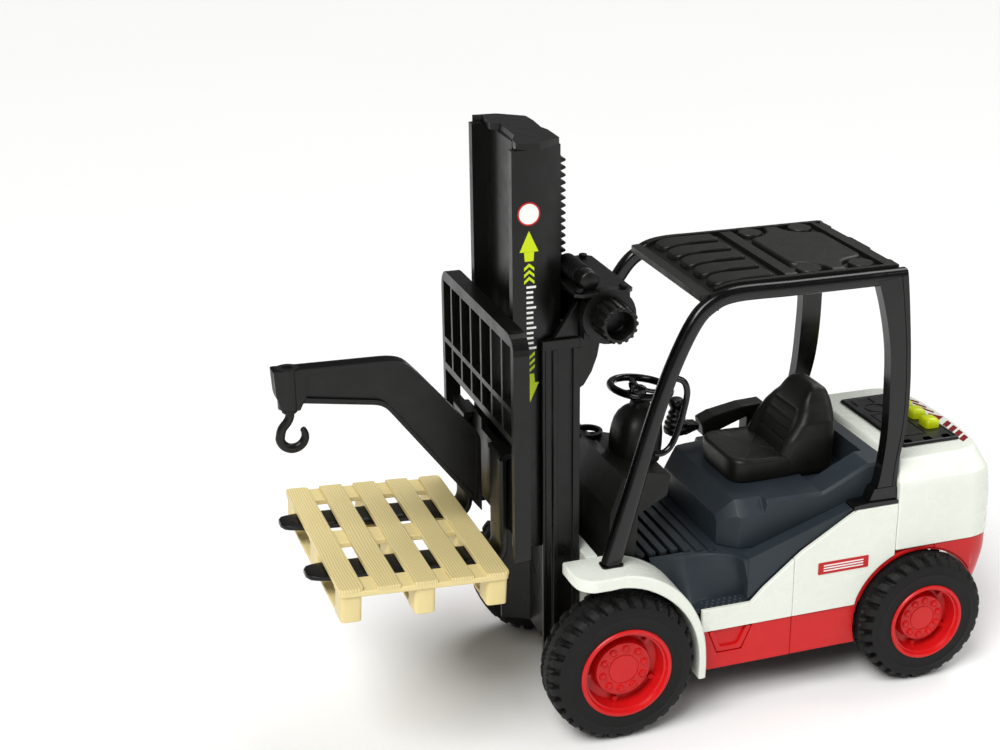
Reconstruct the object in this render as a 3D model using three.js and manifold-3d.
// Toy forklift truck: a chassis with a moulded body, two wheel sets, a fixed outer mast with a
// hand winch, and a sliding inner mast that carries the load backrest, two forks and a crane arm.
// Millimetres, +Z up. The truck faces -Y and its left side faces +X. Everything is laid out from
// the point on the ground under the front axle, and the whole group is moved at the end so that
// the origin is the middle of the object's box, on the ground.
import * as THREE from "three";
import { mergeVertices } from "three/addons/utils/BufferGeometryUtils.js";
import Module from "manifold-3d";

const wasm = await Module();
wasm.setup();

// ---------------------------------------------------------------- driving dimensions
const GAP = 0.3; // between pieces that touch
const RUN = 0.05; // radial clearance of a shaft in its bearing

const WHEELBASE = 145;
const FRONT_R = 33; // front tyre radius
const REAR_R = 30.2; // rear tyre radius
const TYRE_OUTER_X = 61.1; // outer sidewall, from the middle plane
const FRONT_TYRE_W = 21.5;
const REAR_TYRE_W = 19.5;
const FRONT_RIM_R = 20.4;
const REAR_RIM_R = 18;
const AXLE_R = 2;

const BODY_X = 51.4; // half width of the body sides
const WALL = 2.2; // body wall thickness
const SILL_Z0 = 20.8; // underside of the sills
const SILL_Z1 = 39.6; // colour break between red skirt and white side
const BAND_Z = 62.5; // colour break round the back
const SEAM_Y = 81.8; // joint between front and rear skirt mouldings
const REAR_SEAM_Y = 132; // joint between side panel and rear body
const SHELL_Y0 = 38.6; // front end of the side panels, behind the fender
const REAR_Y = 187; // rearmost point, in the middle of the back
const DECK_Z = 102.8; // top of the rear deck
const SHOULDER_Z = 96; // where the rear body starts to lean in
const DECK_X = 40.2; // half width of the deck

const FENDER_X0 = 37; // inner edge of a front fender
const FENDER_X1 = 59.2; // outer edge of a front fender
const FENDER_TOP = 77.5;
const FENDER_T = 5.5; // rim height of a front fender

const FLOOR_Z = 70; // cab floor
const STEP_Z = 50.4; // footstep
const PEDESTAL_Z = 91.5; // top of the seat pedestal

const GUARD_W = 6; // width of the overhead guard's hoops
const GUARD_X = 46.8; // middle of a hoop at its front foot
const GUARD_LEAN = 0.075; // how far a hoop leans in for each millimetre up
const ROOF_Z = 187.6; // middle of the guard's side rails
const ROOF_RAIL_H = 7.6;
const ROOF_Y0 = 44; // front edge of the roof panel
const ROOF_Y1 = 131.6; // rear edge of the roof panel

const MAST_X = 27.7; // half width of the inner mast
const MAST_Y0 = -37.8; // front face of the inner mast
const MAST_Z0 = 82; // bottom of the inner mast, raised
const MAST_LEN = 171.5;
const RAIL_Y1 = -28.9; // back of the inner mast's front rails
const INNER_BACK_Y = -17.5; // back of the inner mast's slide
const OUTER_X = 30; // half width of the outer mast
const OUTER_Y0 = -28.6;
const OUTER_Y1 = -10.3;
const OUTER_Z0 = 19.5;
const OUTER_Z1 = 173.3;
const SLOT_X = 21; // half width of the channel that the inner mast slides in
const SLIDE_GAP = 0.6;
const WEB_T = 2.2;

const MODULE = 1; // gear module of the winch pinion and the mast rack
const PINION_TEETH = 15;
const WINCH_Y = -0.6; // winch shaft
const WINCH_Z = 183.6;
const RACK_W = 9;
const BACKLASH = 0.3;
const KNOB_END_X = 50;
const KNOB_R = 8;
const KNOB_BORE_R = 5.5;
const DISC_R = 11.5; // round end face of the winch housing, behind the knob
const DISC_X = 38;

const BACKREST_Y0 = -45;
const BACKREST_Y1 = -38.3;
const BACKREST_X = 49.5;
const BACKREST_TOP = 183.5;
const PLATE_Y0 = -41.6; // front face of the fork plate
const PLATE_Z0 = 93; // underside of the fork plate
const PLATE_TOP = 124.5;
const LEG_Z0 = 86.5; // lower end of the backrest's legs

const FORK_X = 24.8; // middle of a fork
const FORK_W = 15;
const FORK_T = 3.6;
const FORK_TILT = 3; // degrees that the tines rise towards their tips
const FORK_TOP = 82.3; // top of a tine at its heel
const FORK_LEN = 79.6; // heel to tip

const PALLET_X = 51.8; // half of the pallet's long side
const PALLET_DEPTH = 70;
const PALLET_H = 14.8;
const PLANKS = 5;
const PLANK_W = 10;
const PLANK_T = 2.1;
const BLOCK_W = 8.2;
const STRINGER_W = 13;

const ARM_TIP_Y = -129.4;
const ARM_TOP = 163.8;
const ARM_X = 4; // half width of the crane arm
const HOOK_Y = -123.2;
const HOOK_Z = 134.2; // centre of the hook's ring
const HOOK_R = 5.1; // middle radius of the ring
const HOOK_T = 1.7; // radius of the hook's bar

const WHEEL_RING_R = 13.2; // steering wheel
const STEER_Y = 29;
const STEER_Z = 136;
const STEER_TILT = 7; // degrees towards the seat

const BUTTON_PITCH = 12.4;
const BUTTON_Y = 168.5;
const BUTTON_TRAVEL = 1.5;
const PANEL_X = 30; // half width of the deck panel
const PANEL_Y0 = 144.5;
const PANEL_Y1 = 174.5;

// ---------------------------------------------------------------- materials
const finish = (color, roughness, metalness = 0) => ({ color, roughness, metalness });
const WHITE = finish(0xeef2ea, 0.3);
const RED = finish(0xc8181c, 0.32);
const GREY = finish(0x2e373e, 0.5);
const BLACK = finish(0x15150f, 0.35);
const LIME = finish(0xd4e000, 0.35);
const BEIGE = finish(0xd9c98a, 0.5);
const RUBBER = finish(0x111111, 0.7);
const STEEL = finish(0x9a9a9a, 0.35, 1);
const GREEN = finish(0x1f5a33, 0.5);
const LENS = finish(0x5a0a10, 0.2);

const truck = new THREE.Group();

function add(name, geometry, look, parent = truck) {
  const mesh = new THREE.Mesh(geometry, new THREE.MeshStandardMaterial(look));
  mesh.name = name;
  parent.add(mesh);
  return mesh;
}

// ---------------------------------------------------------------- shape helpers
const rad = THREE.MathUtils.degToRad;

function box(x0, x1, y0, y1, z0, z1) {
  const g = new THREE.BoxGeometry(x1 - x0, y1 - y0, z1 - z0);
  return g.translate((x0 + x1) / 2, (y0 + y1) / 2, (z0 + z1) / 2);
}

function shapeOf(points, holes = []) {
  const shape = new THREE.Shape(points.map(([u, v]) => new THREE.Vector2(u, v)));
  for (const hole of holes) shape.holes.push(new THREE.Path(hole.map(([u, v]) => new THREE.Vector2(u, v))));
  return shape;
}

const extrude = (points, depth, holes) =>
  new THREE.ExtrudeGeometry(shapeOf(points, holes), { depth, bevelEnabled: false, steps: 1 });

// An outline given in (x, y), standing from z0 to z1.
const slabXY = (points, z0, z1, holes) => extrude(points, z1 - z0, holes).translate(0, 0, z0);

// An outline given in (y, z), running from x0 to x1.
function slabYZ(points, x0, x1, holes) {
  const turn = new THREE.Matrix4().makeBasis(
    new THREE.Vector3(0, 1, 0), new THREE.Vector3(0, 0, 1), new THREE.Vector3(1, 0, 0));
  return extrude(points, x1 - x0, holes).applyMatrix4(turn).translate(x0, 0, 0);
}

// An outline given in (x, z), running from y0 to y1.
function slabXZ(points, y0, y1, holes) {
  const turn = new THREE.Matrix4().makeBasis(
    new THREE.Vector3(1, 0, 0), new THREE.Vector3(0, 0, 1), new THREE.Vector3(0, -1, 0));
  return extrude(points, y1 - y0, holes).applyMatrix4(turn).translate(0, y1, 0);
}

// A cylinder along x, y or z.
function rod(axis, radius, from, to, a, b, sides = 20) {
  const g = new THREE.CylinderGeometry(radius, radius, to - from, sides);
  const mid = (from + to) / 2;
  if (axis === "x") return g.rotateZ(Math.PI / 2).translate(mid, a, b);
  if (axis === "y") return g.translate(a, mid, b);
  return g.rotateX(Math.PI / 2).translate(a, b, mid);
}

const arc = (cu, cv, r, a0, a1, n) =>
  Array.from({ length: n + 1 }, (_, i) => {
    const a = rad(a0 + ((a1 - a0) * i) / n);
    return [cu + r * Math.cos(a), cv + r * Math.sin(a)];
  });

function roundedRect(u0, u1, v0, v1, r, n = 3) {
  return [
    ...arc(u1 - r, v0 + r, r, -90, 0, n), ...arc(u1 - r, v1 - r, r, 0, 90, n),
    ...arc(u0 + r, v1 - r, r, 90, 180, n), ...arc(u0 + r, v0 + r, r, 180, 270, n),
  ];
}

const flipU = (points) => points.map(([u, v]) => [-u, v]).reverse();
const mirrorX = (g) => {
  const m = g.clone().applyMatrix4(new THREE.Matrix4().makeScale(-1, 1, 1));
  const flat = m.index ? m.toNonIndexed() : m;
  const p = flat.getAttribute("position");
  for (let i = 0; i < p.count; i += 3)
    for (const axis of [0, 1, 2]) {
      const kept = p.getComponent(i + 1, axis);
      p.setComponent(i + 1, axis, p.getComponent(i + 2, axis));
      p.setComponent(i + 2, axis, kept);
    }
  flat.deleteAttribute("normal");
  flat.deleteAttribute("uv");
  return flat;
};

// ---------------------------------------------------------------- booleans
function solid(geometry) {
  const g = geometry.clone();
  g.deleteAttribute("normal");
  g.deleteAttribute("uv");
  const merged = mergeVertices(g, 1e-4);
  return new wasm.Manifold(new wasm.Mesh({
    numProp: 3,
    vertProperties: merged.attributes.position.array,
    triVerts: new Uint32Array(merged.index.array),
  }));
}

function geometryOf(manifold) {
  const mesh = manifold.getMesh();
  const g = new THREE.BufferGeometry();
  g.setAttribute("position", new THREE.BufferAttribute(new Float32Array(mesh.vertProperties), 3));
  g.setIndex(new THREE.BufferAttribute(new Uint32Array(mesh.triVerts), 1));
  return g;
}

const join = (...parts) => geometryOf(parts.map(solid).reduce((a, b) => a.add(b)));
const cut = (body, ...tools) => geometryOf(tools.map(solid).reduce((a, b) => a.subtract(b), solid(body)));
const common = (...parts) => geometryOf(parts.map(solid).reduce((a, b) => a.intersect(b)));

// A ribbon round a smooth line: its points are [u, v, width], and the ends are square.
function ribbon(line, n) {
  const path = new THREE.SplineCurve(line.map(([u, v]) => new THREE.Vector2(u, v)));
  const widths = new THREE.SplineCurve(line.map(([, , w], i) => new THREE.Vector2(i, w)));
  const left = [];
  const right = [];
  for (let i = 0; i <= n; i++) {
    const p = path.getPoint(i / n);
    const t = path.getTangent(i / n);
    const h = widths.getPoint(i / n).y / 2;
    left.push([p.x - t.y * h, p.y + t.x * h]);
    right.push([p.x + t.y * h, p.y - t.x * h]);
  }
  return [...right, ...left.reverse()];
}

// ---------------------------------------------------------------- wheels
function tyre(radius, width, rimR) {
  const h = width / 2;
  const seat = rimR - 1.2;
  const profile = [
    [seat, -h + 1.5], [rimR + 1.5, -h], [radius - 5.5, -h], [radius - 1.6, -h + 1], [radius, -h + 3],
    [radius, h - 3], [radius - 1.6, h - 1], [radius - 5.5, h], [rimR + 1, h], [rimR + GAP, h - 0.8],
    [rimR + GAP, h - 2.2], [seat, h - 2.2], [seat, -h + 1.5],
  ].map(([r, x]) => new THREE.Vector2(r, x));
  return new THREE.LatheGeometry(profile, 36).rotateZ(-Math.PI / 2);
}

// Deep dish: a barrel, a set-back disc, and a raised hub with a bore for the axle.
function rim(width, rimR) {
  const h = width / 2;
  const seat = rimR - 1.2 - GAP;
  const bore = AXLE_R + GAP;
  const profile = [
    [bore, -h + 4], [seat, -h + 4], [seat, h - 2.2 + GAP], [rimR, h - 2.2 + GAP], [rimR, h], [rimR - 2.4, h],
    [rimR - 3.6, h - 7], [rimR * 0.6, h - 8], [rimR * 0.57, h - 4.6], [bore, h - 4.6], [bore, -h + 4],
  ].map(([r, x]) => new THREE.Vector2(r, x));
  return new THREE.LatheGeometry(profile, 32).rotateZ(-Math.PI / 2);
}

function wheelSet(label, y, radius, width, rimR) {
  const x = TYRE_OUTER_X - width / 2;
  for (const [side, s] of [["left", 1], ["right", -1]]) {
    const at = new THREE.Group();
    at.position.set(s * x, y, radius);
    at.rotation.z = s > 0 ? 0 : Math.PI;
    truck.add(at);
    add(`${label}_tyre_${side}`, tyre(radius, width, rimR), RUBBER, at);
    add(`${label}_rim_${side}`, rim(width, rimR), RED, at);
  }
  const axleEnd = TYRE_OUTER_X - 5.4;
  add(`${label}_axle`, rod("x", AXLE_R, -axleEnd, axleEnd, y, radius, 16), STEEL);
}
wheelSet("front", 0, FRONT_R, FRONT_TYRE_W, FRONT_RIM_R);
wheelSet("rear", WHEELBASE, REAR_R, REAR_TYRE_W, REAR_RIM_R);

// ---------------------------------------------------------------- chassis and underside
const CHASSIS_X = 36;
const CHASSIS_Z1 = 24.6;
const CHASSIS_Y0 = OUTER_Y1 + GAP;
const CHASSIS_Y1 = REAR_Y - 12;
const BEARING_T = 6;

function bearing(s, y, z) {
  const x0 = s > 0 ? CHASSIS_X - BEARING_T : -CHASSIS_X;
  return box(x0, x0 + BEARING_T, y - 6, y + 6, CHASSIS_Z1 - 1, z + 6);
}
const plateOutline = [
  [-CHASSIS_X, CHASSIS_Y0], [CHASSIS_X, CHASSIS_Y0], [CHASSIS_X, SHELL_Y0 + 1],
  [BODY_X - 4.2, SHELL_Y0 + 1], [BODY_X - 4.2, WHEELBASE - REAR_R - 4], [CHASSIS_X, WHEELBASE - REAR_R - 4],
  [CHASSIS_X, CHASSIS_Y1], [-CHASSIS_X, CHASSIS_Y1], [-CHASSIS_X, WHEELBASE - REAR_R - 4],
  [-BODY_X + 4.2, WHEELBASE - REAR_R - 4], [-BODY_X + 4.2, SHELL_Y0 + 1], [-CHASSIS_X, SHELL_Y0 + 1],
];
const COVER = { x: 22, y0: 62, y1: 108, t: 2 };
add("chassis_base", cut(
  join(
    slabXY(plateOutline, SILL_Z0, CHASSIS_Z1),
    bearing(1, 0, FRONT_R), bearing(-1, 0, FRONT_R),
    bearing(1, WHEELBASE, REAR_R), bearing(-1, WHEELBASE, REAR_R),
  ),
  rod("x", AXLE_R + RUN, -60, 60, 0, FRONT_R, 16),
  rod("x", AXLE_R + RUN, -60, 60, WHEELBASE, REAR_R, 16),
  box(-COVER.x, COVER.x, COVER.y0, COVER.y1, SILL_Z0 - 1, SILL_Z0 + COVER.t + GAP),
), BLACK);
add("battery_cover", box(-COVER.x + GAP, COVER.x - GAP, COVER.y0 + GAP, COVER.y1 - GAP,
  SILL_Z0, SILL_Z0 + COVER.t), BLACK);

// ---------------------------------------------------------------- front fenders and bulkhead
const fenderOutline = [
  [-20.5, FENDER_TOP - FENDER_T], [0, FENDER_TOP - FENDER_T], [9, 69.5], [17.5, 64.5], [24.5, 58],
  [30, 50], [33.4, 41], [34.7, 32], [34.7, SILL_Z0], [38.2, SILL_Z0], [38.2, 30], [37, 41.5],
  [33.5, 52.2], [28, 61.6], [21, 68.9], [12, 74.4], [2, FENDER_TOP], [-20.5, FENDER_TOP],
];
const fenderPlan = [
  [FENDER_X0, -20.5], [FENDER_X1 - 11, -20.5], [FENDER_X1 - 3, -16.5], [FENDER_X1, -9],
  [FENDER_X1, 22], [FENDER_X1 - 1.6, 38.2], [FENDER_X0, 38.2],
];
const fenderLeft = common(slabYZ(fenderOutline, FENDER_X0, FENDER_X1), slabXY(fenderPlan, 10, 90));
add("fender_left", fenderLeft, WHITE);
add("fender_right", mirrorX(fenderLeft), WHITE);
const BULKHEAD_X = FENDER_X0 - GAP;
add("front_bulkhead", slabYZ([
  [-9.6, CHASSIS_Z1 + 18], [-7, CHASSIS_Z1 + 18], [-7, 66], [12, 66], [12, 68.4], [-4.4, 68.4],
  [-4.4, FENDER_TOP], [-9.6, FENDER_TOP],
], -BULKHEAD_X, BULKHEAD_X), WHITE);

// ---------------------------------------------------------------- skirt, sides and rear body
const ARCH_R = REAR_R + 1.7; // wheel arch opening
const LIP_R = ARCH_R + 2; // colour break round the arch
const archPoint = (r, z) => WHEELBASE - Math.sqrt(r * r - (z - REAR_R) ** 2);
const angleAt = (r, z, rearward) => {
  const a = THREE.MathUtils.radToDeg(Math.asin((z - REAR_R) / r));
  return rearward ? a : 180 - a;
};

const archTopAngle = 180 - THREE.MathUtils.radToDeg(Math.acos((WHEELBASE - REAR_SEAM_Y + GAP) / LIP_R));

// The body's outline seen from above: straight sides, round corners and a gently bowed back.
function bodyPlan(inset, y0) {
  const x = BODY_X - inset;
  const back = [[x, 172], [x - 1.8, 178], [x - 6, 182]];
  const bow = [18, 0, -18].map((u) => [u, REAR_Y - inset - (u * u) / 330]);
  const left = back.map(([u, v]) => [u, v - inset]);
  return [[-x, y0], [x, y0], ...left, ...bow, ...left.map(([u, v]) => [-u, v]).reverse()];
}
// Its outline seen from the back: upright, then leaning in to the deck.
function bodyFront(inset, z0) {
  const x = BODY_X - inset;
  const d = DECK_X - inset * 0.7;
  return [[-x, z0], [x, z0], [x, SHOULDER_Z], [d, DECK_Z - inset], [-d, DECK_Z - inset], [-x, SHOULDER_Z]];
}
const DECK_Y0 = 137.5; // front edge of the deck
const bodySide = (inset, z0) => [
  [REAR_SEAM_Y, z0], [REAR_Y + 1, z0], [REAR_Y + 1, 84], [REAR_Y - 2.5 - inset, 98],
  [REAR_Y - 7 - inset, DECK_Z - inset], [DECK_Y0 + inset, DECK_Z - inset], [REAR_SEAM_Y, SHOULDER_Z - inset],
];
const rearOuter = common(
  slabXY(bodyPlan(0, REAR_SEAM_Y), 0, 120), slabXZ(bodyFront(0, BAND_Z), 100, 200),
  slabYZ(bodySide(0, BAND_Z), -70, 70));
const rearInner = common(
  slabXY(bodyPlan(WALL, REAR_SEAM_Y - 5), 0, 120), slabXZ(bodyFront(WALL, BAND_Z - 5), 100, 200),
  slabYZ(bodySide(WALL, BAND_Z - 5).map(([y, z]) => [y < DECK_Y0 ? y - 3 : y, z]), -70, 70));
const panelHole = box(-PANEL_X + 2, PANEL_X - 2, PANEL_Y0 + 2, PANEL_Y1 - 1.2, DECK_Z - 10, DECK_Z + 5);
const lightSlots = [-27, -20, -13, -6, 6, 13, 20, 27].map((x) => {
  const y = 180 - (x * x) / 240;
  return box(x - 2.2, x + 2.2, y - 0.9, y + 0.9, DECK_Z - 6, DECK_Z + 3);
});
add("rear_body", cut(rearOuter, rearInner, panelHole, ...lightSlots), WHITE);

const sidePanelOutline = [
  [SHELL_Y0, SILL_Z1 + GAP], [archPoint(LIP_R, SILL_Z1 + GAP), SILL_Z1 + GAP],
  ...arc(WHEELBASE, REAR_R, LIP_R, angleAt(LIP_R, SILL_Z1 + GAP + 3), archTopAngle, 7),
  [REAR_SEAM_Y - GAP, 86.4], [111.5, 86.2], [85.5, 70.6], [67.6, 56],
  [61.8, STEP_Z], [SHELL_Y0, STEP_Z],
];
const sideLeft = slabYZ(sidePanelOutline, BODY_X - WALL, BODY_X);
add("side_panel_left", sideLeft, WHITE);
add("side_panel_right", mirrorX(sideLeft), WHITE);

const SILL_X = BODY_X - 0.6;
const sillOutline = [[SHELL_Y0, SILL_Z0], [SEAM_Y - GAP / 2, SILL_Z0], [SEAM_Y - GAP / 2, SILL_Z1],
  [SHELL_Y0, SILL_Z1]];
const stepCut = slabYZ([[42.5, SILL_Z1 + 1], [46.5, 28.5], [57, 28.5], [62, SILL_Z1 + 1]], SILL_X - 1.4,
  SILL_X + 1);
const sillLeft = cut(slabYZ(sillOutline, BODY_X - 3.9, SILL_X), stepCut);
add("sill_left", sillLeft, RED);
add("sill_right", mirrorX(sillLeft), RED);

// Red skirt behind the seam: it runs round the wheel arch, and the bumper closes it at the back.
const SKIRT_SPLIT_Y = 152;
const lip = BAND_Z - GAP;
const lipGap = LIP_R - GAP;
const skirtOutline = [
  [SEAM_Y + GAP / 2, SILL_Z0], [archPoint(ARCH_R, SILL_Z0), SILL_Z0],
  ...arc(WHEELBASE, REAR_R, ARCH_R, 190, 78, 14), [SKIRT_SPLIT_Y, lip],
  ...arc(WHEELBASE, REAR_R, lipGap, angleAt(lipGap, lip), angleAt(lipGap, SILL_Z1), 8),
  [SEAM_Y + GAP / 2, SILL_Z1],
];
const skirtLeft = slabYZ(skirtOutline, BODY_X - 3.9, SILL_X);
add("skirt_left", skirtLeft, RED);
add("skirt_right", mirrorX(skirtLeft), RED);
const bumperRing = cut(slabXY(bodyPlan(0.6, SKIRT_SPLIT_Y + GAP), 30, lip),
  slabXY(bodyPlan(3.9, SKIRT_SPLIT_Y - 5), 20, 80));
const bumperSide = [
  [SKIRT_SPLIT_Y, lip], ...arc(WHEELBASE, REAR_R, ARCH_R, 76, 14, 8), [REAR_Y - 7, 38], [REAR_Y + 2, 50],
    [REAR_Y + 2, lip],
];
add("rear_bumper", common(bumperRing, slabYZ(bumperSide, -70, 70)), RED);

// ---------------------------------------------------------------- cab floor, pedestal and cowl
const TUB_X = BODY_X - WALL - GAP; // half width inside the side panels
const FLOOR_X = 42;
add("cab_floor", join(
  slabXZ([
    [-TUB_X, STEP_Z - 2.4], [-FLOOR_X + 2.4, STEP_Z - 2.4], [-FLOOR_X + 2.4, FLOOR_Z - 2.6],
    [FLOOR_X - 2.4, FLOOR_Z - 2.6], [FLOOR_X - 2.4, STEP_Z - 2.4], [TUB_X, STEP_Z - 2.4],
    [TUB_X, STEP_Z], [FLOOR_X, STEP_Z], [FLOOR_X, FLOOR_Z], [-FLOOR_X, FLOOR_Z],
    [-FLOOR_X, STEP_Z], [-TUB_X, STEP_Z],
  ], SHELL_Y0 + GAP, 86),
  slabXY([[-FENDER_X0 + 0.5, 12 + GAP], [FENDER_X0 - 0.5, 12 + GAP], [FENDER_X0 - 0.5, 38.5], [FLOOR_X, 41],
    [-FLOOR_X, 41], [-FENDER_X0 + 0.5, 38.5]], FLOOR_Z - 2.6, FLOOR_Z),
  ...Array.from({ length: 7 }, (_, i) => box(-30, 30, 17 + i * 5, 19 + i * 5, FLOOR_Z - 0.5, FLOOR_Z + 0.7)),
), GREY);

// Seat pedestal: a faceted hood with a sunken seat well; its sides flare out to the rear pillars.
const pedestalPlan = [
  [-30, 53.5], [30, 53.5], [38.5, 62], [40, 88], [TUB_X - 0.6, 104], [TUB_X - 0.6, REAR_SEAM_Y - 1],
  [-TUB_X + 0.6, REAR_SEAM_Y - 1], [-TUB_X + 0.6, 104], [-40, 88], [-38.5, 62],
];
const pedestalSide = [
  [50, FLOOR_Z + GAP], [REAR_SEAM_Y, FLOOR_Z + GAP], [REAR_SEAM_Y, 103.5], [121, 103.5], [100, 92.5],
  [60, PEDESTAL_Z], [52, 83.5],
];
const pedestalFront = [
  [-TUB_X, FLOOR_Z], [TUB_X, FLOOR_Z], [TUB_X, 86], [41, 94], [34, 105], [-34, 105], [-41, 94], [-TUB_X, 86],
];
const seatWell = slabXY(roundedRect(-26, 26, 74, 125, 6, 2), 86.5, 110);
// The chamfer between the hood's top and side, ahead of the flare.
const hoodFacet = slabXZ([[33.5, PEDESTAL_Z + 0.4], [41.5, 82.5], [41.5, 95], [33.5, 95]], 50, 74);
const pillarRoom = (s) => box(s > 0 ? 41.2 : -60, s > 0 ? 60 : -41.2, 110.5, 140, 86.4, 110);
add("seat_pedestal", cut(common(
  slabXY(pedestalPlan, 60, 120), slabYZ(pedestalSide, -60, 60), slabXZ(pedestalFront, 40, 140)), seatWell,
    pillarRoom(1), pillarRoom(-1), hoodFacet, mirrorX(hoodFacet)), GREY);

const COWL_X = 31;
add("front_cowl", join(
  slabYZ([[0, FLOOR_Z + GAP], [12.4, FLOOR_Z + GAP], [14, 88], [14, 108], [7, 111.5], [1.5, 96]],
    -COWL_X - 5, COWL_X + 5),
  slabYZ([[13, 84], [32.5, 94.5], [34, 103.5], [19, 107.5], [13, 108]], -24, 24),
), BLACK);
const COLUMN_X = 11;
add("column_cover", common(
  slabYZ([[14.4, 108.4], [19.5, 107.9], [34.2, 104], [38, 118], [34, STEER_Z - 6], [24, STEER_Z - 6], [18,
    122]], -20, 20),
  slabXZ([[-COLUMN_X - 2, 100], [COLUMN_X + 2, 100], [COLUMN_X, 118], [6, STEER_Z - 4], [-6, STEER_Z - 4],
    [-COLUMN_X, 118]], 0, 50),
), BLACK);

// Steering wheel: a ring with three spokes on a hub; a short shaft stands in the column cover.
const steering = new THREE.Group();
steering.position.set(0, STEER_Y, STEER_Z);
steering.rotation.x = -rad(STEER_TILT);
truck.add(steering);
const spoke = (angle) => box(-0.9, 0.9, 0, WHEEL_RING_R - 0.5, -1.4, 0.2).rotateZ(rad(angle));
add("steering_wheel", join(
  new THREE.TorusGeometry(WHEEL_RING_R, 1.3, 8, 28),
  rod("z", 2.6, -5.4, 0.6, 0, 0, 14),
  spoke(90), spoke(-30), spoke(210),
  rod("z", 1.4, 0, 6, 9.5, -8.2, 10),
), BLACK, steering);

// ---------------------------------------------------------------- seat
const SEAT_X = 20;
add("seat_base", box(-SEAT_X + 2, SEAT_X - 2, 76, 116, 86.5 + GAP, 91.6), BLACK);
add("seat_shell", common(
  slabYZ([
    [66, 93.4], [73, 92.4], [76, 91.9], [117.5, 91.9], [117.5, 127], [114, 131.5], [108.5, 131.8], [101,
      126], [93, 114.5],
    [86, 102.5], [72, 103], [66, 100.5],
  ], -30, 30),
  slabXZ([
    [-SEAT_X, 90], [SEAT_X, 90], [SEAT_X, 112], [SEAT_X - 1.5, 119], [SEAT_X - 6.5, 124.5], [SEAT_X - 8, 130],
    [SEAT_X - 11, 133], [-SEAT_X + 11, 133], [-SEAT_X + 8, 130], [-SEAT_X + 6.5, 124.5], [-SEAT_X + 1.5, 119],
    [-SEAT_X, 112],
  ], 50, 130),
  slabXY([
    [-SEAT_X + 5, 66], [SEAT_X - 5, 66], [SEAT_X - 1, 69], [SEAT_X, 74], [SEAT_X, 118], [-SEAT_X, 118],
    [-SEAT_X, 74], [-SEAT_X + 1, 69],
  ], 80, 140),
), BLACK);
add("armrest", slabYZ([
  [71, 97.5], [75, 98], [93, 104.5], [93, 93.2], [100, 93.2], [102, 110.5], [90, 110], [76, 107.5], [70, 105],
], -33, -SEAT_X - 4.2), BLACK);
add("control_lever", join(
  slabYZ([[55, 99.5], [63, 99], [69.4, 101], [69.4, 103.5], [62, 104]], -32, -26),
  new THREE.ConeGeometry(3.6, 10, 12).rotateX(Math.PI / 2).translate(-29, 59, 107),
  rod("z", 1.4, 104, 114.5, -29, 59, 10),
), BLACK);

// ---------------------------------------------------------------- overhead guard
const leanIn = (g) => {
  const p = g.getAttribute("position");
  for (let i = 0; i < p.count; i++) p.setX(i, p.getX(i) - GUARD_LEAN * (p.getZ(i) - FENDER_TOP));
  return g;
};
const FOOT_Z = 86.5 + GAP;
const frontPillar = ribbon([
  [-0.6, FENDER_TOP + GAP, 8], [8.6, 107, 8], [18.6, 139, 8], [27, 161, 8], [36.4, 177.8, 8], [44, 184.4, 8],
  [54, ROOF_Z, ROOF_RAIL_H], [80, ROOF_Z, ROOF_RAIL_H], [ROOF_Y1, ROOF_Z, ROOF_RAIL_H],
], 36).map(([y, z]) => [y, z < FENDER_TOP + 3 ? FENDER_TOP + GAP : z]);
const rearPillar = [
  [118.6, ROOF_Z - ROOF_RAIL_H / 2 - 0.3], [123, 172], [126, 152], [126.2, 124], [123.6, 100], [121.5, 92],
  [REAR_SEAM_Y - GAP, 92], [REAR_SEAM_Y - GAP, 103.4], [135, 108], [137, 138], [135.4, 172],
    [ROOF_Y1 + 0.4, ROOF_Z + 2], [119, ROOF_Z + 1],
];
const hoop = join(
  slabYZ(frontPillar, GUARD_X - GUARD_W / 2, GUARD_X + GUARD_W / 2),
  slabYZ(rearPillar, GUARD_X - GUARD_W / 2, GUARD_X + GUARD_W / 2),
  slabYZ([[111, FOOT_Z], [131.6, FOOT_Z], [131.6, 93], [113, 93]], GUARD_X - GUARD_W / 2, BODY_X + 1.2),
);
const guardLeft = leanIn(hoop);
add("guard_left", guardLeft, BLACK);
add("guard_right", mirrorX(guardLeft), BLACK);

const roofX = GUARD_X - GUARD_W / 2 - GUARD_LEAN * (ROOF_Z - ROOF_RAIL_H / 2 - FENDER_TOP) - 2 * GAP - 0.4;
const ROOF_TOP = 191.4;
const padRow = [-28, -14, 0, 14, 28].map((x) => slabXY(roundedRect(x - 4.6, x + 4.6, 48, 76, 4.4, 3), 191,
  193.2));
const padRound = [[-27, 92], [27, 92], [-27, 118], [27, 118]].map(([x, y]) => rod("z", 5.6, 191, 193.2, x,
  y, 18));
add("roof_panel", cut(join(
  slabXY([[-roofX, ROOF_Y0], [roofX, ROOF_Y0], [roofX, ROOF_Y1], [-roofX, ROOF_Y1]], 188.4, ROOF_TOP),
  slabYZ([[38, 188], [46, 188.4], [46, 191.4], [39, 190]], -roofX, roofX),
  slabXY([[-roofX, 80], [roofX, 80], [roofX, 85], [-roofX, 85]], 191, 193),
  slabXY([[-14, 88], [14, 88], [19, 98], [26, 101], [26, 109], [19, 112], [14, 122], [-14, 122], [-19, 112],
    [-26, 109], [-26, 101], [-19, 98]], 191, 193.2),
  ...padRow, ...padRound,
), rod("z", 1.6, 180, 200, 0, 82.5, 12)), BLACK);

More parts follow.
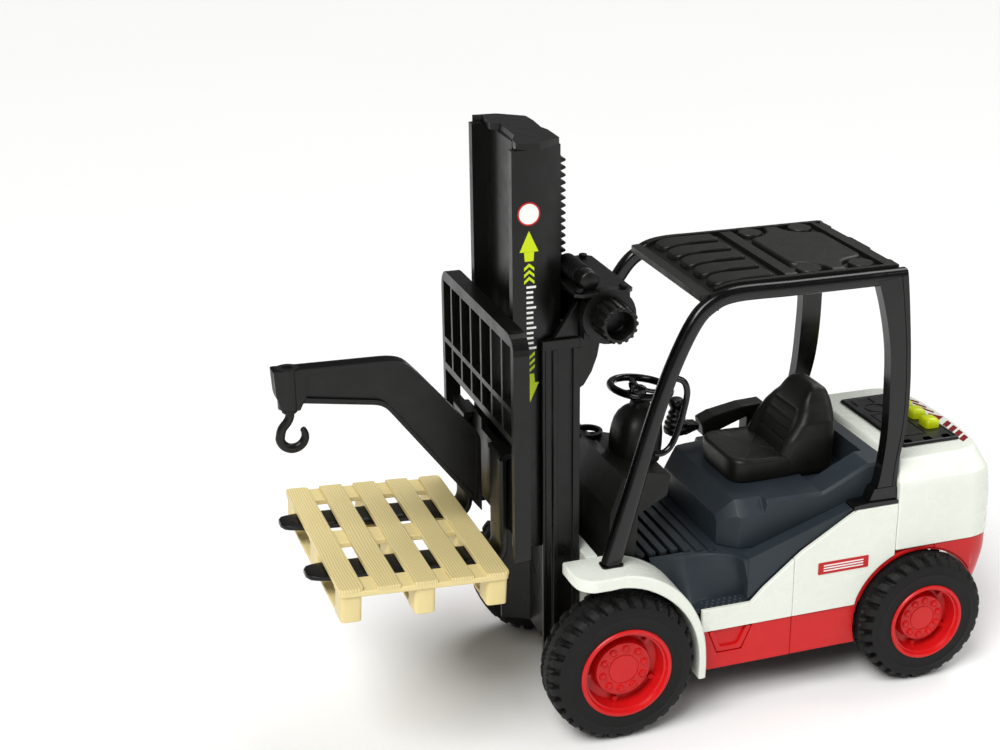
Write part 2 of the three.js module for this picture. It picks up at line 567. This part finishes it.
const handleLine = [[15.7, 124.3], [21.5, 125], [26, 130], [29.6, 141], [30, 148], [28.6, 152.6], [27.6,
  154.4]];
const handleX = GUARD_X - GUARD_LEAN * (139 - FENDER_TOP) - 1.6;
add("grab_handle", slabYZ(
  ribbon(handleLine.map(([y, z]) => [y + 3.2, z, 2.6]), 18), handleX, handleX + 3), BLACK);

// ---------------------------------------------------------------- outer mast and winch
const RAIL_IN = SLOT_X;
const pitchR = (MODULE * PINION_TEETH) / 2;
const pitchLineY = WINCH_Y - pitchR;
const SIDE_RECESS = 1.5;
const rackSlotX = RACK_W / 2 + 1;
add("outer_mast", cut(
  box(-OUTER_X, OUTER_X, OUTER_Y0, OUTER_Y1, OUTER_Z0, OUTER_Z1),
  box(-RAIL_IN, RAIL_IN, OUTER_Y0 - 1, OUTER_Y1 - WEB_T, OUTER_Z0 - 1, OUTER_Z1 + 1),
  box(-rackSlotX, rackSlotX, OUTER_Y1 - WEB_T - 1, OUTER_Y1 + 1, 86, OUTER_Z1 + 1),
  box(OUTER_X - SIDE_RECESS, OUTER_X + 1, -21.5, -13, 26, OUTER_Z1 - 3.5),
  box(-OUTER_X - 1, -OUTER_X + SIDE_RECESS, -21.5, -13, 26, OUTER_Z1 - 3.5),
), BLACK);

const HOUSING_X0 = -13;
const HOUSING_X1 = 34;
const HOUSING_Y0 = OUTER_Y1 + GAP;
const CASE = 1.2; // housing wall
const ROOM = 0.5; // round the pinion
const HOUSING_Y1 = WINCH_Y + pitchR + MODULE + ROOM + CASE;
const HOUSING_Z0 = OUTER_Z1 + GAP;
const HOUSING_Z1 = 194;
const COVER_T = 1.4;
const SHAFT_R = 2.2;
add("winch_housing", cut(
  join(
    box(HOUSING_X0, HOUSING_X1, HOUSING_Y0, HOUSING_Y1, HOUSING_Z0, HOUSING_Z1 - 1),
    slabXY([[HOUSING_X0 - 0.6, -10], [HOUSING_X0 + 4, -15], [DISC_X - 2, -15], [DISC_X, -12], [DISC_X,
      HOUSING_Y1 - 2],
      [DISC_X - 3, HOUSING_Y1 + 0.6], [HOUSING_X0 + 2, HOUSING_Y1 + 0.6], [HOUSING_X0 - 0.6, HOUSING_Y1 - 2]],
      HOUSING_Z1 - COVER_T, HOUSING_Z1),
    rod("x", DISC_R, HOUSING_X1 - 1, DISC_X, WINCH_Y, WINCH_Z, 32),
    slabYZ([[HOUSING_Y0, HOUSING_Z0 + 1], [HOUSING_Y0, 151.6], [-8.4, 152.6], [-5, 158], [-2.6, 164.5],
      [-1.4, 171],
      [HOUSING_Y1 - 1, HOUSING_Z0 + 1]], 25, OUTER_X - GAP),
    rod("x", 3.9, 6, 33, -7.5, HOUSING_Z1 + 3.6, 16),
  ),
  box(HOUSING_X0 + CASE, HOUSING_X1 - CASE, HOUSING_Y0 + CASE, HOUSING_Y1 - CASE,
    WINCH_Z - pitchR - MODULE - ROOM + 0.1, WINCH_Z + pitchR + MODULE + ROOM - 0.1),
  box(-rackSlotX, rackSlotX, -16, pitchLineY + MODULE + ROOM, HOUSING_Z0 - 1, HOUSING_Z1 + 1),
  rod("x", SHAFT_R + RUN, HOUSING_X0 - 1, DISC_X + 1, WINCH_Y, WINCH_Z, 16),
), BLACK);
for (const [i, [x, y]] of [[DISC_X - 3.5, 6.4], [DISC_X - 2.8, -12.6], [HOUSING_X0 + 3.5, 5.6],
  [HOUSING_X0 + 3.8, -10.8]].entries())
  add(`winch_screw_${i + 1}`, rod("z", 1.8, HOUSING_Z1 + GAP, HOUSING_Z1 + 1.8, x, y, 12), STEEL);

// Winch knob: sixteen flutes and a deep bore; the pinion's shaft plugs into its back.
const flutes = Array.from({ length: 64 }, (_, i) => {
  const a = (i / 64) * 2 * Math.PI;
  const r = i % 4 < 2 ? KNOB_R : KNOB_R - 0.7;
  return [WINCH_Y + r * Math.cos(a), WINCH_Z + r * Math.sin(a)];
});
const KNOB_X0 = DISC_X + GAP;
add("winch_knob", cut(
  slabYZ(flutes, KNOB_X0, KNOB_END_X),
  rod("x", KNOB_BORE_R, KNOB_X0 + 4, KNOB_END_X + 1, WINCH_Y, WINCH_Z, 24),
), BLACK);

const addendum = 0.9 * MODULE;
const dedendum = 1.15 * MODULE;
const toothHalf = (Math.PI * MODULE) / 4 - BACKLASH / 4;
const flankSlope = Math.tan(rad(20));
const pinionOutline = Array.from({ length: PINION_TEETH }, (_, i) => {
  const mid = Math.PI + ((i + 0.5) / PINION_TEETH) * 2 * Math.PI;
  const at = (r, w) => [WINCH_Y + r * Math.cos(mid + w / r), WINCH_Z + r * Math.sin(mid + w / r)];
  const rootR = pitchR - dedendum;
  const tipR = pitchR + addendum;
  const rootW = toothHalf + 0.1;
  const tipW = toothHalf - addendum * flankSlope * 1.25;
  return [at(rootR, -rootW), at(pitchR, -toothHalf), at(tipR, -tipW), at(tipR, tipW), at(pitchR,
    toothHalf), at(rootR, rootW)];
}).flat();
add("winch_pinion", join(
  slabYZ(pinionOutline, -RACK_W / 2 + 0.5, RACK_W / 2 - 0.5),
  rod("x", SHAFT_R, HOUSING_X0, KNOB_X0 - GAP, WINCH_Y, WINCH_Z, 16),
), STEEL);

// ---------------------------------------------------------------- inner mast with its rack
const MAST_Z1 = MAST_Z0 + MAST_LEN;
const slideX = SLOT_X - SLIDE_GAP;
const RAIL_IN_X = MAST_X - 4.2;
const half = [
  [MAST_X, MAST_Y0], [MAST_X, RAIL_Y1], [slideX, RAIL_Y1], [slideX, INNER_BACK_Y],
];
const sectionOuter = [...half, ...flipU(half)];
const pocketFront = [[-RAIL_IN_X, MAST_Y0 - 1], [RAIL_IN_X, MAST_Y0 - 1], [RAIL_IN_X, -31.2], [-RAIL_IN_X,
  -31.2]];
const pocketBack = [[-slideX + 2, RAIL_Y1 + 0.2], [slideX - 2, RAIL_Y1 + 0.2], [slideX - 2,
  INNER_BACK_Y - 2], [-slideX + 2, INNER_BACK_Y - 2]];
const TOP_T = 3;
const circularPitch = Math.PI * MODULE;
const RACK_Z0 = MAST_Z0 + 68;
const RACK_Z1 = MAST_Z1 - 6;
const rackOutline = (() => {
  const teeth = [];
  const first = Math.ceil((RACK_Z0 + 2 - WINCH_Z) / circularPitch);
  const last = Math.floor((RACK_Z1 - 2 - WINCH_Z) / circularPitch);
  for (let i = first; i <= last; i++) {
    const z = WINCH_Z + i * circularPitch;
    const rootW = toothHalf + dedendum * flankSlope;
    const tipW = toothHalf - addendum * flankSlope;
    teeth.push([pitchLineY - dedendum, z - rootW], [pitchLineY + addendum, z - tipW],
      [pitchLineY + addendum, z + tipW], [pitchLineY - dedendum, z + rootW]);
  }
  return [[INNER_BACK_Y - 1, RACK_Z0], [pitchLineY - dedendum, RACK_Z0], ...teeth,
    [pitchLineY - dedendum, RACK_Z1], [INNER_BACK_Y - 1, RACK_Z1]];
})();
const topPlate = [
  [-MAST_X, MAST_Y0 + 1.6], [-10.5, MAST_Y0 + 1.2], [-9, MAST_Y0 + 4.6], [12, MAST_Y0 + 4.6], [17,
    MAST_Y0 + 0.8],
  [MAST_X, MAST_Y0], [MAST_X + 0.6, RAIL_Y1], [MAST_X, RAIL_Y1 + 3], [slideX - 1, -16], [8, -15.4],
  [2, -17.2], [-12, -15.4], [-slideX + 1, -16], [-MAST_X, RAIL_Y1 + 3], [-MAST_X - 0.6, RAIL_Y1],
];
add("inner_mast", join(
  cut(slabXY(sectionOuter, MAST_Z0, MAST_Z1 - TOP_T + 0.5),
    slabXY(pocketFront, MAST_Z0 - 1, MAST_Z1 + 1), slabXY(pocketBack, MAST_Z0 - 1, MAST_Z1 - TOP_T)),
  slabYZ(rackOutline, -RACK_W / 2, RACK_W / 2),
  slabXY(topPlate, MAST_Z1 - TOP_T, MAST_Z1),
), BLACK);

// ---------------------------------------------------------------- load backrest and forks
const BARS = [-34.6, -20.8, -6.9, 6.9, 20.8, 34.6];
const STILE = 3.4;
const BAR_T = 2;
const cellEdges = [-BACKREST_X + STILE, ...BARS.flatMap((x) => [x - BAR_T / 2, x + BAR_T / 2]),
  BACKREST_X - STILE];
const cells = (z0, z1) =>
  Array.from({ length: BARS.length + 1 }, (_, i) =>
    box(cellEdges[2 * i], cellEdges[2 * i + 1], BACKREST_Y0 - 1, BACKREST_Y1 + 1, z0, z1));
const WINDOW_X = BACKREST_X - STILE;
const backrestOutline = [
  ...arc(BACKREST_X - 1.7, LEG_Z0 + 1.7, 1.7, -90, 0, 3), ...arc(BACKREST_X - 8, BACKREST_TOP - 8, 8, 0,
    90, 5),
  ...arc(-BACKREST_X + 8, BACKREST_TOP - 8, 8, 90, 180, 5), ...arc(-BACKREST_X + 1.7, LEG_Z0 + 1.7, 1.7,
    180, 270, 3),
];
add("load_backrest", join(cut(
  slabXZ(backrestOutline, BACKREST_Y0, BACKREST_Y1),
  ...cells(153, 178.5), ...cells(141, 150.6),
  box(-WINDOW_X, WINDOW_X, BACKREST_Y0 - 1, BACKREST_Y1 + 1, PLATE_TOP, 137.8),
  box(-WINDOW_X, WINDOW_X, BACKREST_Y0 - 1, BACKREST_Y1 + 1, LEG_Z0 - 1, PLATE_Z0),
  box(-WINDOW_X, WINDOW_X, BACKREST_Y0 - 1, PLATE_Y0, PLATE_Z0 - 1, PLATE_TOP + 1),
), box(-16, -5, PLATE_Y0, BACKREST_Y1 - 0.2, PLATE_TOP - 1, PLATE_TOP + 5)), BLACK);

// Forks and pallet lie in a frame that is tilted at the forks' heel.
const SHANK_Y0 = PLATE_Y0 - GAP - 4.4;
const tilted = new THREE.Group();
tilted.position.set(0, SHANK_Y0, FORK_TOP);
tilted.rotation.x = -rad(FORK_TILT);
truck.add(tilted);
const tilt = new THREE.Matrix4().makeTranslation(0, SHANK_Y0, FORK_TOP)
  .multiply(new THREE.Matrix4().makeRotationX(-rad(FORK_TILT)));

const HEEL_R = 1.2;
const tineSide = [
  [3, -FORK_T - 1], [-4, -FORK_T], [-FORK_LEN, -FORK_T + 1.4], [-FORK_LEN, 0], [-HEEL_R, 0],
    [-HEEL_R * 0.3, HEEL_R * 0.3],
  [0, HEEL_R], [3, HEEL_R],
];
const tinePlan = [
  [-FORK_W / 2, 5], [-FORK_W / 2, -FORK_LEN + 8], [-FORK_W / 2 + 2.4, -FORK_LEN + 2], [-3, -FORK_LEN],
  [3, -FORK_LEN], [FORK_W / 2 - 2.4, -FORK_LEN + 2], [FORK_W / 2, -FORK_LEN + 8], [FORK_W / 2, 5],
];
const tine = (x) => common(
  slabYZ(tineSide, -FORK_W / 2, FORK_W / 2), slabXY(tinePlan, -10, 10),
).translate(x, 0, 0).applyMatrix4(tilt);
const shank = (x) => slabYZ([
  [SHANK_Y0, FORK_TOP + 2], [SHANK_Y0 + 1, FORK_TOP - FORK_T], [PLATE_Y0 - GAP, FORK_TOP - FORK_T - 0.4],
  [PLATE_Y0 - GAP, PLATE_TOP + GAP],
  [BACKREST_Y1 - 1.4, PLATE_TOP + GAP], [BACKREST_Y1 - 1.4, PLATE_TOP + 2.6], [SHANK_Y0, PLATE_TOP + 2.6],
], x - FORK_W / 2, x + FORK_W / 2);
add("fork_left", join(shank(FORK_X), tine(FORK_X)), BLACK);
add("fork_right", join(shank(-FORK_X), tine(-FORK_X)), BLACK);

// ---------------------------------------------------------------- pallet
const PALLET_Y1 = -1.7; // its rear edge, in the tilted frame
const deckZ = GAP; // underside of the planks, just above the tines
const palletTop = deckZ + PLANK_T;
const palletZ0 = palletTop - PALLET_H;
const plankPitch = (PALLET_DEPTH - PLANK_W) / (PLANKS - 1);
const plankY = (i) => PALLET_Y1 - PALLET_DEPTH + i * plankPitch;
const rowsX = [-PALLET_X + STRINGER_W / 2, 0, PALLET_X - STRINGER_W / 2];
const palletParts = [];
for (let i = 0; i < PLANKS; i++)
  palletParts.push(box(-PALLET_X, PALLET_X, plankY(i), plankY(i) + PLANK_W, deckZ, palletTop));
for (const x of rowsX) {
  const w = STRINGER_W / 2;
  palletParts.push(box(x - w, x + w, PALLET_Y1 - PALLET_DEPTH, PALLET_Y1, deckZ - 1.6, palletTop - 1));
  for (const i of [0, 2, 4])
    palletParts.push(box(x - w + 1, x + w - 1, plankY(i) + 0.9, plankY(i) + 0.9 + BLOCK_W, palletZ0, deckZ));
}
for (const i of [0, 2, 4])
  palletParts.push(box(-PALLET_X + 1, PALLET_X - 1, plankY(i) + 0.9, plankY(i) + 0.9 + BLOCK_W, palletZ0,
    palletZ0 + 1.8));
add("pallet", join(...palletParts), BEIGE, tilted);

// ---------------------------------------------------------------- crane arm and hook
const armBack = SHANK_Y0 + 1.6;
const armOutline = [
  [ARM_TIP_Y, ARM_TOP], [ARM_TIP_Y + 2.6, ARM_TOP - 17.2], [ARM_TIP_Y + 10.4, ARM_TOP - 17.2],
  [ARM_TIP_Y + 10.4, ARM_TOP - 14], [-85.6, ARM_TOP - 19.4], [armBack, 90.5], [armBack, 125.5],
  [-73, ARM_TOP - 4], [-77.5, ARM_TOP - 0.8], [-82, ARM_TOP],
];
const armPocket = [
  [ARM_TIP_Y + 12.4, ARM_TOP - 2], [ARM_TIP_Y + 12.4, ARM_TOP - 12.2], [-85, ARM_TOP - 17], [armBack - 2,
    96.5],
  [armBack - 2, 123.5], [-75, ARM_TOP - 4.5], [-82, ARM_TOP - 2],
];
const HOOK_BORE = 1.9;
add("crane_arm", cut(
  slabYZ(armOutline, -ARM_X, ARM_X),
  slabYZ(armPocket, ARM_X - 0.9, ARM_X + 1), slabYZ(armPocket, -ARM_X - 1, -ARM_X + 0.9),
  rod("z", HOOK_BORE + RUN, 140, 180, 0, HOOK_Y, 14),
), BLACK);
const RING_Y = ARM_TIP_Y + HOOK_R + HOOK_T; // the ring's front is level with the arm's tip
const hookLine = [
  ...arc(RING_Y, HOOK_Z, HOOK_R, 30, -180, 10), [RING_Y - HOOK_R + 0.8, HOOK_Z + 3.4], [HOOK_Y - 1.4,
    HOOK_Z + 6.6],
  [HOOK_Y, HOOK_Z + 9.5], [HOOK_Y, HOOK_Z + 12.6],
].map(([y, z]) => new THREE.Vector3(0, y, z));
const section = new THREE.Shape(arc(0, 0, HOOK_T, 0, 315, 7).map(([u, v]) => new THREE.Vector2(u, v)));
const hookBar = new THREE.ExtrudeGeometry(section, {
  steps: 26, bevelEnabled: false, extrudePath: new THREE.CatmullRomCurve3(hookLine),
});
add("crane_hook", join(
  hookBar,
  rod("z", HOOK_BORE, HOOK_Z + 11, ARM_TOP - 1, 0, HOOK_Y, 14),
  rod("z", 3, HOOK_Z + 10.4, ARM_TOP - 17.2 - GAP, 0, HOOK_Y, 14),
), BLACK);

// ---------------------------------------------------------------- deck panel, buttons, electronics
const PANEL_Z0 = DECK_Z + GAP;
const PANEL_TOP = PANEL_Z0 + 1.2;
const BUTTON_W = 4.4;
const BUTTON_D = 3.8;
const buttonXs = [-BUTTON_PITCH, 0, BUTTON_PITCH];
const SCREW = { x: -14, y: 155.5, r: 2.2 };
add("deck_panel", cut(
  slabXY(roundedRect(-PANEL_X, PANEL_X, PANEL_Y0, PANEL_Y1, 1.6, 2), PANEL_Z0, PANEL_TOP),
  ...buttonXs.map((x) => box(x - BUTTON_W - GAP, x + BUTTON_W + GAP, BUTTON_Y - BUTTON_D - GAP,
    BUTTON_Y + BUTTON_D + GAP, 90, 120)),
  rod("z", SCREW.r + GAP, PANEL_Z0 - 1, PANEL_TOP + 1, SCREW.x, SCREW.y, 16),
), BLACK);
add("deck_screw", rod("z", SCREW.r, PANEL_Z0 - 4, PANEL_TOP - 0.4, SCREW.x, SCREW.y, 14), STEEL);
for (const [i, x] of buttonXs.entries())
  add(`sound_button_${i + 1}`, join(
    box(x - BUTTON_W, x + BUTTON_W, BUTTON_Y - BUTTON_D, BUTTON_Y + BUTTON_D, PANEL_Z0 - 3, PANEL_TOP + 2.6),
    box(x - BUTTON_W + 1, x + BUTTON_W - 1, BUTTON_Y - BUTTON_D + 1, BUTTON_Y + BUTTON_D - 1,
      PANEL_TOP + 2, PANEL_TOP + 3.8),
  ), LIME);
const PCB_TOP = PANEL_Z0 - 3 - BUTTON_TRAVEL - 1;
add("circuit_board", box(-26, 26, PANEL_Y0 + 4, PANEL_Y1 + 1.5, PCB_TOP - 1.6, PCB_TOP), GREEN);
add("speaker", rod("z", 13, PCB_TOP - 11.6, PCB_TOP - 1.6 - GAP, 0, 160, 24), STEEL);
add("tail_lens", slabXY([[-30, 177], [30, 177], [30, 179], [16, 181.4], [-16, 181.4], [-30, 179]],
  DECK_Z - WALL - 4.2, DECK_Z - WALL - 2.6), LENS);

// The origin is the middle of the object's box, on the ground.
truck.position.y = -(ARM_TIP_Y + REAR_Y) / 2;
truck.updateMatrixWorld(true);

export default truck;
